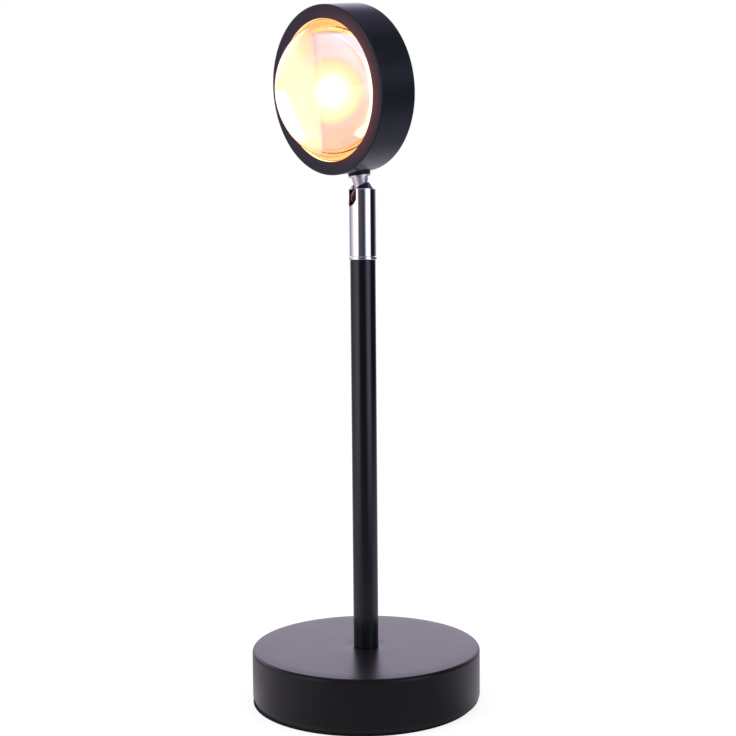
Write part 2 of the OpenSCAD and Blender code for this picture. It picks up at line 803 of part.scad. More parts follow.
module led_screws() {
    color("silver") in_drum() at_board_screws() translate([0, 0, board_front]) {
        translate([0, 0, -screw_head_rise])
            cylinder(r = board_screw_r + board_screw_overhang, h = screw_head_rise);
        cylinder(r = board_screw_r, h = board_t + board_screw_grip);
    }
}

module head_wires() {
    color("#b9312f") on_neck()
        for (side = [-1, 1])
            translate([side * head_wire_x, head_wire_depth - neck_setback, head_wire_start])
                cylinder(r = head_wire_r, h = head_up - head_wire_end_r - head_wire_start);
}

module head_cover() {
    color("#232228") in_drum() difference() {
        union() {
            translate([0, 0, cover_seat]) cylinder(r = cover_r, h = cover_t);
            translate([0, 0, pad_front]) cylinder(r = board_r + cover_pad_rim, h = cover_pad_t + fuse);
        }
        at_board_screws() translate([0, 0, pad_front - past])
            cylinder(r = board_screw_r + thread_clear, h = past + board_screw_grip + thread_clear);
        at_lugs() translate([0, 0, head_depth]) rotate([180, 0, 0])
            flat_screw_hole(cover_screw_r, cover_t + past);
    }
}

module cover_screws() {
    color("#3a3a3c") in_drum() at_lugs() translate([0, 0, head_depth]) rotate([180, 0, 0])
        flat_screw(cover_screw_r, cover_screw_len);
}

base_pad();
base_plate();
base_plate_screws();
base_shell();
ballast();
stem_nipple();
stem_washer();
stem_nut();
stem_tube();
cable_grommet();
lead_splices();
lead_wires();
swivel_insert();
swivel_clip();
stop_pin();
swivel_sleeve();
thrust_washer();
friction_spring();
friction_seat();
swivel_ball();
neck_stud();
stud_clip();
saddle_washer();
head_shell();
lens();
lens_gasket();
colour_filter();
light_chamber();
led_board();
led_chip();
led_screws();
head_wires();
head_cover();
cover_screws();
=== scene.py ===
"""A sunset projection lamp: weighted drum base, straight post, slotted ball
swivel and a flat round head with a strongly domed lens.

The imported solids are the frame. The pieces that show are turned here as
finely as on a lathe, and every piece gets its own finish. Sizes are in
millimetres, as on the part's drawing, and meshes are in metres."""

import json
import math

import bmesh
import bpy
from mathutils import Matrix, Vector


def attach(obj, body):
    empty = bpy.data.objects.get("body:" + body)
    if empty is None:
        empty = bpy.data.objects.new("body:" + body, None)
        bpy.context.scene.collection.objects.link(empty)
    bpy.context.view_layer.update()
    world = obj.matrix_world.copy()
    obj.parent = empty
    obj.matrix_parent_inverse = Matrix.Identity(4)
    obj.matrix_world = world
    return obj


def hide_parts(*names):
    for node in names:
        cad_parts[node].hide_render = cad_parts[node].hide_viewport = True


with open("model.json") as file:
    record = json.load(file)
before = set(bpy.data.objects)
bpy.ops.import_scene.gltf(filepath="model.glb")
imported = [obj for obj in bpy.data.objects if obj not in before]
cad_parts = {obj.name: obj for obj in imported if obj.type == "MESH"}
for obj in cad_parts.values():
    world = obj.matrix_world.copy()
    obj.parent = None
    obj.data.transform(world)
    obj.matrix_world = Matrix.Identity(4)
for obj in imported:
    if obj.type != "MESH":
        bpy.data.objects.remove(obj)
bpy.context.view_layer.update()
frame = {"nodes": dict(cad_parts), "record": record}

MM = 0.001

# ---------------------------------------------------------------- drawing
# The sizes that the turned pieces share with the solids they stand for.
# Base: heights and radii from the pad upwards.
BASE_R, BASE_TOP, PLATE_TOP, STEEL = 47.4, 23.0, 3.0, 1.2
PAD_R, PAD_T, PAD_SHIFT, PAD_SIDE = 46.4, 1.4, 0.9, 228
DISH_R, DISH_FLAT_R, DISH_DEPTH, NIPPLE_HOLE_R = 13.0, 5.8, 0.3, 4.2
CROWN, CROWN_IN, CROWN_W = 0.22, 6.8, 5.0
INLET_Z, INLET_HOLE_R = 8.45, 3.25
GROMMET_BORE_R, GROMMET_WAIST_R, GROMMET_RING_R, GROMMET_FLANGE_R = 1.8, 3.2, 4.0, 4.5
GROMMET_IN, GROMMET_RING, GROMMET_OUT = 43.23, 44.63, 48.8
FOOT_CIRCLE = 32.0
# Post, and the turned insert in its top.
POST_R, POST_BORE_R, POST_TOP = 5.2, 4.05, 183.4
INSERT_R, INSERT_LOW, COLLAR_R, WIRE_BORE_R = 4.0, 175.4, 5.75, 2.5
SPIGOT_R, SPIGOT_TOP, CLIP_R, CLIP_LOW, CLIP_HIGH = 4.2, 192.6, 3.75, 190.61, 191.31
# Sleeve, with its bearing, stop groove, ball socket and slot.
SLEEVE_R, SLEEVE_BOTTOM, SLEEVE_TOP, SHOULDER_H, MOUTH_R = 5.5, 184.6, 214.5, 2.6, 3.3
SOCKET_R, BEARING_R, BEARING_TOP = 4.75, 4.26, 190.6
STOP_Z, STOP_HALF, STOP_R = 187.6, 0.8, 4.85
SLOT_HALF, SLOT_RISE, SLOT_REACH, SLOT_TURN, REST_TILT = 3.35, 12, 9, 15.5, 7.3
# Ball and stud: heights from the ball's centre, along the neck.
BALL_Z, BALL_R, BALL_BORE_R, BALL_SINK_R, BALL_SINK = 208.3, 4.65, 2.16, 3.3, -2.2
STUD_BORE_R, STUD_R, STUD_LOW, STUD_STEP, STUD_TOP = 1.3, 2.1, -3.21, 3.92, 17.4
NECK_R, TAPER_LOW, TAPER_TOP, TAPER_R = 2.6, 5.0, 8.0, 3.4
FLANGE_R, FLANGE_H, FLANGE_T, THREAD_R = 4.5, 8.6, 0.8, 2.5
# Head: depths from the front of its ring.
HEAD_UP, SETBACK = 43.6, 12.6
HEAD_R, HEAD_WALL, HEAD_DEPTH, APERTURE_R, RING_T = 33.195, 1.995, 17.6, 27.8, 2.0
COVER_SEAT, COVER_LEDGE, COVER_R, COVER_PAD_R, COVER_PAD = 16.0, 0.7, 31.7, 21.0, 14.6
LUG_CIRCLE, LUG_R, LUG_WEB, LUG_H, LUG_HOLE_R = 28.4, 2.8, 3.8, 5.8, 1.3
BOSS_HALF, BOSS_IN, BOSS_OUT, BOSS_FRONT = 3.6, 26.2, 31.9, 9.0
DOME_R, DOME_H, DISC_R, DISC_BACK = 27.6, 19.0, 31.0, 4.0
BOARD_R, BOARD_FACE, BOARD_SCREW_X, CHIP_REACH = 20.5, 11.9, 9.5, 7.0


def spin(axis, degrees):
    """A turn about an axis."""
    return Matrix.Rotation(math.radians(degrees), 4, axis)


on_neck = (
    Matrix.Translation((0, 0, BALL_Z))
    @ spin("Z", -SLOT_TURN)
    @ spin("X", REST_TILT)
    @ spin("Z", SLOT_TURN)
)
in_head = on_neck @ Matrix.Translation((0, -SETBACK, HEAD_UP)) @ spin("X", -90)
slot_frame = Matrix.Translation((0, 0, BALL_Z)) @ spin("Z", -SLOT_TURN)
inlet_frame = Matrix.Translation((0, 0, INLET_Z)) @ spin("X", -90)


# ---------------------------------------------------- objects and camera
def new_object(name, data):
    """An object with its data, linked into the scene."""
    made = bpy.data.objects.new(name, data)
    bpy.context.scene.collection.objects.link(made)
    return made


# The camera was fitted to the photograph's outlines, in pixels of its width.
CAMERA_AT = (432.9, -378.4, 192.2)
CAMERA_SIDE, CAMERA_DROP, CAMERA_ROLL = 48.674, 5.759, -0.472
PHOTO_PIXELS, FOCAL_PIXELS, SHIFT_PIXELS, SENSOR_MM = 736, 1408.444, 11.861, 36


def place_camera():
    """The photograph's viewing angle, on a long lens."""
    side, drop, roll = map(math.radians, (CAMERA_SIDE, CAMERA_DROP, CAMERA_ROLL))
    right = Vector((math.cos(side), math.sin(side), 0))
    up = Vector((-math.sin(drop) * math.sin(side), math.sin(drop) * math.cos(side), math.cos(drop)))
    back = right.cross(up)
    turned_right = math.cos(roll) * right + math.sin(roll) * up
    turned_up = -math.sin(roll) * right + math.cos(roll) * up
    lens_data = bpy.data.cameras.new("camera")
    lens_data.sensor_width = SENSOR_MM
    lens_data.lens = SENSOR_MM * FOCAL_PIXELS / PHOTO_PIXELS
    lens_data.shift_y = SHIFT_PIXELS / PHOTO_PIXELS
    lens_data.clip_start, lens_data.clip_end = 0.01, 50
    camera = new_object("camera", lens_data)
    columns = Matrix((turned_right, turned_up, back)).transposed().to_4x4()
    camera.matrix_world = Matrix.Translation(MM * Vector(CAMERA_AT)) @ columns
    bpy.context.scene.camera = camera


place_camera()

# ------------------------------------------------------------- mesh tools
CREASE = 35  # edges sharper than this, in degrees, stay sharp in the shading
WELD, ON_AXIS = 1e-5, 1e-6


def rounded(corners, steps=8, margin=0.12):
    """Rounds an outline: corners are (radius, height) or (radius, height, fillet).

    A point is added at the margin beside each fillet, so that straight sides
    keep their even shading."""
    points, count = [], len(corners)
    for i, corner in enumerate(corners):
        here = Vector(corner[:2])
        if len(corner) == 2:
            points.append(here)
            continue
        to_last = Vector(corners[i - 1][:2]) - here
        to_next = Vector(corners[(i + 1) % count][:2]) - here
        half = to_last.angle(to_next) / 2
        reach = corner[2] / math.tan(half)
        a, b = to_last.normalized(), to_next.normalized()
        middle = here + (a + b).normalized() * (corner[2] / math.sin(half))
        arm = here + a * reach - middle
        turn = (math.pi - 2 * half) * (1 if a.cross(b) < 0 else -1)
        if to_last.length > reach + 2 * margin:
            points.append(here + a * (reach + margin))
        for k in range(steps + 1):
            points.append(middle + Matrix.Rotation(turn * k / steps, 2) @ arm)
        if to_next.length > reach + 2 * margin:
            points.append(here + b * (reach + margin))
    return points


def arc(middle, radius, start, stop, steps):
    """Points on a circle, by angle from the outline's radius axis."""
    for k in range(steps + 1):
        a = math.radians(start + (stop - start) * k / steps)
        yield (middle[0] + radius * math.cos(a), middle[1] + radius * math.sin(a))


def shade_smooth(mesh):
    """Smooth shading all over, but for the sharp edges."""
    for face in mesh.polygons:
        face.use_smooth = True
    mesh.set_sharp_from_angle(angle=math.radians(CREASE))


def finish_mesh(shape, name, place):
    """Puts a shape drawn in millimetres in its place, as a smooth mesh in metres."""
    bmesh.ops.remove_doubles(shape, verts=shape.verts, dist=WELD)
    bmesh.ops.recalc_face_normals(shape, faces=shape.faces)
    shape.transform(Matrix.Scale(MM, 4) @ place)
    mesh = bpy.data.meshes.new(name)
    shape.to_mesh(mesh)
    shape.free()
    shade_smooth(mesh)
    return new_object(name, mesh)


def turned(name, outline, place=Matrix(), sides=192):
    """A turned piece: a closed outline of (radius, height) spun round its axis."""
    shape = bmesh.new()
    around = [2 * math.pi * i / sides for i in range(sides)]
    rings = []
    for radius, height in outline:
        spots = [(0, 0, height)]
        if radius >= ON_AXIS:
            spots = [(radius * math.cos(a), radius * math.sin(a), height) for a in around]
        rings.append([shape.verts.new(spot) for spot in spots])
    for ring, following in zip(rings, rings[1:] + rings[:1]):
        for i in range(sides):
            j = (i + 1) % sides
            corners = [ring[i % len(ring)], ring[j % len(ring)]]
            corners += [following[j % len(following)], following[i % len(following)]]
            corners = list(dict.fromkeys(corners))
            if len(corners) > 2:
                shape.faces.new(corners)
    return finish_mesh(shape, name, place)


def round_bar(name, radius, low, high, place, sides=64):
    """A plain cylinder, to cut a hole with."""
    return turned(name, [(0, low), (radius, low), (radius, high), (0, high)], place, sides)


def prism(name, outline, low, high, place):
    """A straight piece: a closed outline of (x, y), from low to high."""
    shape = bmesh.new()
    rings = [[shape.verts.new((x, y, z)) for x, y in outline] for z in (low, high)]
    count = len(outline)
    for i in range(count):
        j = (i + 1) % count
        shape.faces.new((rings[0][i], rings[0][j], rings[1][j], rings[1][i]))
    shape.faces.new(rings[0][::-1])
    shape.faces.new(rings[1])
    return finish_mesh(shape, name, place)


def apply_modifiers(piece):
    """Turns what the modifiers make into the piece's own plain mesh."""
    view = bpy.context.evaluated_depsgraph_get()
    mesh = bpy.data.meshes.new_from_object(piece.evaluated_get(view))
    mesh.validate()
    piece.modifiers.clear()
    piece.data = mesh


def joined(piece, tool, operation):
    """Cuts a tool from a piece, or joins it on, and takes the tool away."""
    change = piece.modifiers.new("join", "BOOLEAN")
    change.operation, change.object, change.solver = operation, tool, "EXACT"
    apply_modifiers(piece)
    bpy.data.objects.remove(tool)
    shade_smooth(piece.data)
    return piece


def soften_edges(piece, width, angle):
    """Breaks edges sharper than the angle by the width, as a deburring tool does."""
    edge = piece.modifiers.new("edges", "BEVEL")
    edge.width, edge.segments, edge.limit_method = width * MM, 3, "ANGLE"
    edge.angle_limit, edge.use_clamp_overlap = math.radians(angle), True
    edge.harden_normals = False
    shade = piece.modifiers.new("shading", "WEIGHTED_NORMAL")
    shade.keep_sharp, shade.weight = True, 80
    apply_modifiers(piece)
    return piece


# ---------------------------------------------------------- node shorthand
def sockets(group, inputs, outputs):
    """Gives a group its named sockets: name to default for inputs, name to kind for outputs."""
    for name, value in inputs.items():
        kind = "NodeSocketFloat"
        if isinstance(value, tuple):
            kind = "NodeSocketColor" if len(value) == 4 else "NodeSocketVector"
        group.interface.new_socket(name, in_out="INPUT", socket_type=kind).default_value = value
    for name, kind in outputs.items():
        group.interface.new_socket(name, in_out="OUTPUT", socket_type=kind)


class Wiring:
    """Short hand for placing and wiring nodes in one tree."""

    def __init__(self, tree):
        self.tree = tree

    def feed(self, socket, value):
        """Links a socket to an output, or sets a constant on it."""
        if isinstance(value, bpy.types.NodeSocket):
            self.tree.links.new(value, socket)
        else:
            socket.default_value = value

    def fill(self, made, **values):
        """Feeds a node's inputs, by name with _ for a space, or by number as i0, i1."""
        for name, value in values.items():
            numbered = name[0] == "i" and name[1:].isdigit()
            self.feed(made.inputs[int(name[1:]) if numbered else name.replace("_", " ")], value)
        return made

    def node(self, kind, props=None, **values):
        made = self.tree.nodes.new(kind)
        for name, value in (props or {}).items():
            setattr(made, name, value)
        return self.fill(made, **values)

    def math(self, operation, *values):
        made = self.tree.nodes.new("ShaderNodeMath")
        made.operation = operation
        for socket, value in zip(made.inputs, values):
            self.feed(socket, value)
        return made.outputs[0]

    def product(self, *masks):
        """All masks multiplied."""
        first, *others = masks
        for mask in others:
            first = self.math("MULTIPLY", first, mask)
        return first

    def length(self, x, y):
        """The distance that two sides at a right angle span."""
        squares = self.math("ADD", self.math("MULTIPLY", x, x), self.math("MULTIPLY", y, y))
        return self.math("SQRT", squares)

    def off_middle(self, value, middle=0.5):
        """How far a value lies above or below its middle."""
        return self.math("SUBTRACT", value, middle)

    def ramp(self, factor, stops):
        made = self.tree.nodes.new("ShaderNodeValToRGB")
        slots = made.color_ramp.elements
        while len(slots) < len(stops):
            slots.new(0.5)
        for slot, (place, colour) in zip(slots, stops):
            slot.position, slot.color = place, (*colour, 1)
        self.tree.links.new(factor, made.inputs[0])
        return made.outputs[0]

    def mix(self, factor, first, second, blend="MIX"):
        made = self.node("ShaderNodeMix", {"data_type": "RGBA", "blend_type": blend}, i0=factor)
        for socket, value in ((made.inputs[6], first), (made.inputs[7], second)):
            self.feed(socket, (*value, 1) if isinstance(value, tuple) else value)
        return made.outputs[2]

    def toned(self, colour, tone):
        """A colour made lighter or darker by a tone round 1."""
        grey = self.node("ShaderNodeCombineColor", Red=tone, Green=tone, Blue=tone).outputs[0]
        return self.mix(1.0, colour, grey, "MULTIPLY")

    def place(self):
        """The place on the part, in metres."""
        return self.node("ShaderNodeTexCoord").outputs["Object"]

    def noise(self, at, scale, detail=2.0, roughness=0.5):
        kind = "ShaderNodeTexNoise"
        made = self.node(kind, Vector=at, Scale=scale, Detail=detail, Roughness=roughness)
        return made.outputs[0]

    def spread(self, value, low, high, **values):
        """0 at low and 1 at high, straight between them."""
        made = self.node("ShaderNodeMapRange", Value=value, From_Min=low, From_Max=high, **values)
        return made.outputs[0]

    def between(self, value, low, high):
        """0 at low and 1 at high, eased between them."""
        props = {"interpolation_type": "SMOOTHSTEP"}
        made = self.node("ShaderNodeMapRange", props, Value=value, From_Min=low, From_Max=high)
        return made.outputs[0]

    def towards(self, way, heading):
        """How far a direction points along a heading: 1 along it, -1 against it."""
        made = self.node("ShaderNodeVectorMath", {"operation": "DOT_PRODUCT"}, i0=way, i1=heading)
        return made.outputs["Value"]

    def rays(self):
        """Rays straight from the eye or through the glass, and reflected rays."""
        path = self.node("ShaderNodeLightPath").outputs
        direct = self.math("MAXIMUM", path["Is Camera Ray"], path["Is Transmission Ray"])
        return direct, path["Is Glossy Ray"]


# ----------------------------------------------------------- shared groups
def new_group(name, inputs, outputs):
    """A shader group with its sockets, and the shorthand, inputs and output to wire it."""
    group = bpy.data.node_groups.new(name, "ShaderNodeTree")
    sockets(group, inputs, outputs)
    w = Wiring(group)
    return group, w, w.node("NodeGroupInput").outputs, w.node("NodeGroupOutput")


# What both groups give to a shader.
SKIN = {"Colour": "NodeSocketColor", "Roughness": "NodeSocketFloat", "Height": "NodeSocketFloat"}


def make_coat_grain():
    """Baked coat: fine orange-peel, slight cloudiness of colour and sheen, sparse dust."""
    group, w, given, out = new_group("coat grain", {
        "Colour": (0.02, 0.02, 0.02, 1), "Grain mm": 0.3, "Cloud": 0.15, "Dust": 0.3,
        "Sheen": 0.35, "Sheen spread": 0.06,
    }, SKIN)
    at = w.place()
    grain = w.noise(at, w.math("DIVIDE", 1000.0, given["Grain mm"]), 3.0, 0.6)
    cloud = w.noise(at, 55.0, 4.0, 0.55)
    speck = w.noise(at, 1500.0, 1.0)
    dust = w.product(w.spread(speck, 0.74, 0.80), given["Dust"])
    level = w.math("MULTIPLY_ADD", w.off_middle(cloud), given["Cloud"], 1.0)
    fine = w.math("MULTIPLY_ADD", w.off_middle(grain), 0.35, 1.0)
    colour = w.toned(given["Colour"], w.product(level, fine))
    cloudy = w.product(w.off_middle(cloud), given["Sheen spread"])
    speckled = w.product(w.off_middle(grain), given["Sheen spread"])
    rough = w.math("ADD", given["Sheen"], w.math("ADD", cloudy, speckled))
    w.fill(
        out, Colour=w.mix(dust, colour, (0.32, 0.31, 0.30)),
        Roughness=w.math("MULTIPLY_ADD", dust, 0.4, rough),
        Height=w.math("MULTIPLY_ADD", dust, 0.5, grain),
    )
    return group


def make_metal_skin():
    """Metal: cloudy tone, fine wipe marks round an upright axis and small pits."""
    group, w, given, out = new_group("metal skin", {
        "Colour": (0.6, 0.6, 0.6, 1), "Marks": 0.3, "Pits": 0.2, "Sheen": 0.12,
        "Sheen spread": 0.08,
    }, SKIN)
    at = w.place()
    flat = w.node("ShaderNodeMapping", Vector=at, Scale=(60.0, 60.0, 4200.0)).outputs[0]
    marks = w.noise(flat, 1.0, 4.0, 0.65)
    cloud = w.noise(at, 240.0, 5.0, 0.6)
    pit = w.node("ShaderNodeTexVoronoi", Vector=at, Scale=1900.0).outputs["Distance"]
    pits = w.product(w.spread(pit, 0.12, 0.05), given["Pits"])
    tone = w.math("MULTIPLY_ADD", w.off_middle(cloud), 0.12, 1.0)
    tone = w.math("MULTIPLY_ADD", pits, -0.5, tone)
    drag = w.product(w.off_middle(marks), given["Marks"])
    cloudy = w.off_middle(cloud, 0.45)
    rough = w.math("MULTIPLY_ADD", cloudy, given["Sheen spread"], given["Sheen"])
    rough = w.math("MAXIMUM", w.math("MULTIPLY_ADD", drag, 0.12, rough), 0.02)
    w.fill(
        out, Colour=w.toned(given["Colour"], tone), Roughness=rough,
        Height=w.math("SUBTRACT", drag, pits),
    )
    return group


# What shiny pieces see round them: compass angle from the camera's side, and colour.
FAR_BANDS = [
    (-180, (1.0, 0.92, 1.10)), (-150, (0.72, 0.67, 0.83)), (-132, (0.24, 0.22, 0.29)),
    (-114, (0.46, 0.39, 0.47)), (-100, (0.68, 0.58, 0.66)), (-86, (0.90, 0.84, 0.92)),
    (-72, (1.4, 1.36, 1.5)), (-46, (1.5, 1.45, 1.75)), (-32, (0.10, 0.085, 0.085)),
    (12, (0.038, 0.032, 0.048)), (21, (0.16, 0.15, 0.19)), (40, (1.45, 1.65, 2.3)),
    (60, (1.45, 1.65, 2.3)), (75, (0.010, 0.010, 0.013)), (112, (0.010, 0.010, 0.013)),
    (130, (0.10, 0.10, 0.15)), (152, (0.50, 0.47, 0.60)), (179, (1.0, 0.92, 1.10)),
]
NEAR_BANDS = [
    (-180, (0.95, 0.90, 1.05)), (-150, (0.80, 0.76, 0.88)), (-125, (0.34, 0.32, 0.38)),
    (-90, (0.80, 0.74, 0.82)), (-55, (0.58, 0.56, 0.66)), (-20, (0.24, 0.23, 0.27)),
    (30, (0.14, 0.15, 0.20)), (55, (0.14, 0.16, 0.24)), (85, (0.72, 0.70, 0.82)),
    (125, (0.48, 0.46, 0.56)), (152, (0.92, 0.88, 1.0)), (179, (0.95, 0.90, 1.05)),
]


def make_tent():
    """Colour by compass angle, far from the lamp and near it on the floor."""
    kinds = {"Far": "NodeSocketColor", "Near": "NodeSocketColor"}
    group, w, given, out = new_group("tent", {"Way": (0.0, -1.0, 0.0)}, kinds)
    east, north, _ = w.node("ShaderNodeSeparateXYZ", i0=given["Way"]).outputs
    turn = w.math("DIVIDE", w.math("ARCTAN2", east, w.product(north, -1.0)), 2 * math.pi)
    share = w.math("FRACT", w.math("ADD", turn, (180 - CAMERA_SIDE) / 360))
    for name, bands in (("Far", FAR_BANDS), ("Near", NEAR_BANDS)):
        stops = [((angle + 180) / 360, colour) for angle, colour in bands]
        w.feed(out.inputs[name], w.ramp(share, stops))
    return group


coat_grain, metal_skin, tent = make_coat_grain(), make_metal_skin(), make_tent()


# --------------------------------------------------------------- finishes
WHITE, UNLIT = (1.0, 1.0, 1.0), (0.0, 0.0, 0.0)
CHAMBER_GLOW, SOURCE_GLOW = 2.4, 8.0


def finish(name):
    """A new material, with its shorthand and its Principled shader."""
    made = bpy.data.materials.new(name)
    made.use_nodes = True
    return made, Wiring(made.node_tree), made.node_tree.nodes["Principled BSDF"]


def skinned(name, group, strength, depth, values, **shader_values):
    """A material whose colour, roughness and bumps come from a shared group."""
    made, w, shader = finish(name)
    skin = w.node("ShaderNodeGroup", {"node_tree": group}, **values).outputs
    bump = w.node(
        "ShaderNodeBump", Strength=strength, Distance=depth * MM, Height=skin["Height"]
    ).outputs[0]
    w.fill(
        shader, Base_Color=skin["Colour"], Roughness=skin["Roughness"], Normal=bump,
        **shader_values,
    )
    return made


def coated(name, colour, grain, cloud, dust, sheen, spread, depth, index=1.5):
    """Paint, powder coat, rubber and plastic. Grain and depth are in millimetres."""
    values = {
        "Colour": (*colour, 1), "Grain_mm": grain, "Cloud": cloud, "Dust": dust,
        "Sheen": sheen, "Sheen_spread": spread,
    }
    return skinned(name, coat_grain, 0.6, depth, values, IOR=index)


def bare(name, colour, marks, pits, sheen, spread, depth):
    """Plated and bare metals. Depth is in millimetres."""
    values = {
        "Colour": (*colour, 1), "Marks": marks, "Pits": pits, "Sheen": sheen,
        "Sheen_spread": spread,
    }
    return skinned(name, metal_skin, 0.5, depth, values, Metallic=1.0)


def in_the_head(w):
    """Radius from the head's axis, then x across, y down and depth behind the ring, all
    in millimetres."""
    back = in_head.inverted()
    place = w.node(
        "ShaderNodeMapping", Vector=w.place(), Location=back.translation,
        Rotation=back.to_euler(), Scale=(1000, 1000, 1000),
    ).outputs[0]
    x, y, depth = w.node("ShaderNodeSeparateXYZ", i0=place).outputs
    return w.length(x, y), x, y, depth


def lens_glass():
    """The lens's warm-tinted glass, with a trace of haze."""
    made, w, shader = finish("lens glass")
    haze = w.noise(w.place(), 90.0, 3.0)
    w.fill(
        shader, Base_Color=w.ramp(haze, [(0.3, (1.0, 0.62, 0.42)), (0.7, (1.0, 0.64, 0.45))]),
        Roughness=w.spread(haze, 0.0, 1.0, To_Min=0.0, To_Max=0.02),
        Transmission_Weight=1.0, IOR=1.5,
    )
    return made


# The bright spot placed here is painted light on the lens's back.
SPOT_X, SPOT_Y, SPOT_REACH = 2.2, 0.4, 20.0  # the bright spot, from the head's axis


def lens_back():
    """The lens's flat back, with the light seen through the lens painted on it as glow.

    Its patches are masks by place, with x to the right and y down."""
    made, w, shader = finish("lens back")
    radius, x, y, _ = in_the_head(w)
    # The painted glow: brighter at the upper right, and hardly lit in a band at the top.
    upper = w.product(w.between(y, 9.0, -11.0), w.between(x, -7.0, 0.0))
    outer = w.mix(upper, (0.05, 0.03, 0.15), (0.29, 0.40, 0.67))
    fade = w.product(w.between(radius, 16.5, 20.5), w.between(y, -2.0, -7.0))
    outer = w.mix(fade, outer, (0.0, 0.0, 0.02))
    # Two patches of painted light, nearly white: a crescent at the lower right and a slanted field
    # at the left.
    right = w.product(
        w.between(radius, 20.3, 21.8), w.between(x, 4.0, 11.0),
        w.between(y, -3.0, 3.0), w.between(y, 18.5, 16.5),
    )
    slant = w.math("MULTIPLY_ADD", y, -0.28, w.math("ADD", x, 14.0))
    left = w.product(
        w.between(slant, 0.4, -0.4), w.between(y, -3.0, -1.6), w.between(y, 13.6, 12.4)
    )
    outer = w.mix(w.math("MAXIMUM", right, left), outer, (0.30, 0.50, 0.92))
    # Painted shade: dark rims above and below.
    painted_shade_rim = w.math("MAXIMUM", w.between(y, -16.5, -19.0), w.between(y, 11.0, 14.0))
    outer = w.mix(painted_shade_rim, outer, (0.03, 0.02, 0.0))
    # The painted bright spot of the light source, wider to the right and flattened from above.
    dx, dy = w.math("SUBTRACT", x, SPOT_X), w.math("SUBTRACT", y, SPOT_Y)
    dx = w.math("MINIMUM", dx, w.product(dx, 0.74))
    spot = w.length(dx, w.product(dy, 1.15))
    glow = w.ramp(w.math("DIVIDE", spot, SPOT_REACH), [
        (0.20, (1.0, 0.95, 1.0)), (0.34, (0.45, 0.60, 0.42)), (0.46, (0.26, 0.46, 0.16)),
        (0.62, (0.08, 0.18, 0.16)),
    ])
    w.fill(
        shader, Emission_Color=w.mix(w.between(spot, 9.5, 13.0), glow, outer),
        Emission_Strength=1.0, Roughness=0.0, Transmission_Weight=1.0, IOR=1.5,
    )
    return made


def filter_glass():
    """The thin colour filter: clear in the middle, warmer and darker outwards."""
    made, w, shader = finish("filter glass")
    colour = w.ramp(w.math("DIVIDE", in_the_head(w)[0], DISC_R), [
        (0.0, (1.0, 0.97, 0.80)), (0.45, (1.0, 0.92, 0.72)), (0.8, (1.0, 0.72, 0.40)),
        (1.0, (0.9, 0.42, 0.30)),
    ])
    w.fill(shader, Base_Color=colour, Roughness=0.03, Transmission_Weight=1.0, IOR=1.45)
    return made


def white_with_painted_glow(name, reach, glow, grain, detail, dark, pale, roughness):
    """A mottled white, with the light source's light on it painted as glow, by its distance from
    the head's axis.
    """
    made, w, shader = finish(name)
    share = w.math("DIVIDE", in_the_head(w)[0], reach)
    tone = w.ramp(w.noise(w.place(), grain, detail), [(0.3, dark), (0.7, pale)])
    w.fill(
        shader, Base_Color=tone, Emission_Color=w.ramp(share, glow),
        Emission_Strength=CHAMBER_GLOW, Roughness=roughness,
    )
    return made


def phosphor():
    """The light source's yellow patch, and the pale block round it."""
    made, w, shader = finish("phosphor")
    share = w.math("DIVIDE", in_the_head(w)[0], CHIP_REACH)
    glow = [(0.45, (1.0, 0.97, 0.86)), (0.56, (1.0, 0.80, 0.35)), (1.0, (1.0, 0.75, 0.3))]
    tone = [(0.5, (0.95, 0.80, 0.20)), (0.56, (0.85, 0.84, 0.80))]
    w.fill(
        shader, Base_Color=w.ramp(share, tone), Emission_Color=w.ramp(share, glow),
        Emission_Strength=SOURCE_GLOW, Roughness=0.45,
    )
    return made


BORE_PITCH = 0.8  # of the turning marks in the bore, which show as thin dark lines


def head_black():
    """The head's satin coat, with the lit lens's light painted on it: painted glow on the bore
    round it, and a little painted glow and painted reflection of the dome on the ring."""
    made = coated("head black", (0.009, 0.011, 0.015), 0.22, 0.15, 0.12, 0.32, 0.05, 0.010, 1.44)
    w, shader = Wiring(made.node_tree), made.node_tree.nodes["Principled BSDF"]
    radius, x, y, depth = in_the_head(w)
    # Painted light on the bore beside the lens, with the turning marks as thin dark lines in it.
    painted_bore_mask = w.product(
        w.between(radius, 31.28, 31.22), w.between(depth, 0.1, 0.4), w.between(depth, 7.0, 6.0)
    )
    along = w.math("MULTIPLY_ADD", radius, 0.8, depth)
    turns = w.math("SINE", w.product(along, 2 * math.pi / BORE_PITCH))
    warm = w.mix(w.between(y, -4.0, 8.0), (1.5, 0.95, 0.45), (1.6, 1.5, 0.72))
    lit = w.mix(w.between(turns, -0.95, -0.6), (0.85, 0.42, 0.16), warm)
    # Painted glow and painted reflection of the dome on the ring's front, stronger to the right.
    front = w.product(w.between(radius, 34.5, 26.0), w.between(depth, 0.3, 0.1))
    painted_ring_light = w.mix(w.between(x, -6.0, 27.0), (0.013, 0.001, 0.006), (0.105, 0.024, 0.018))
    painted_ring_light = w.mix(front, UNLIT, painted_ring_light)
    w.fill(
        shader, Emission_Color=w.mix(painted_bore_mask, painted_ring_light, lit), Emission_Strength=1.0,
        Specular_Tint=(0.75, 0.78, 1.0, 1),
    )
    return made


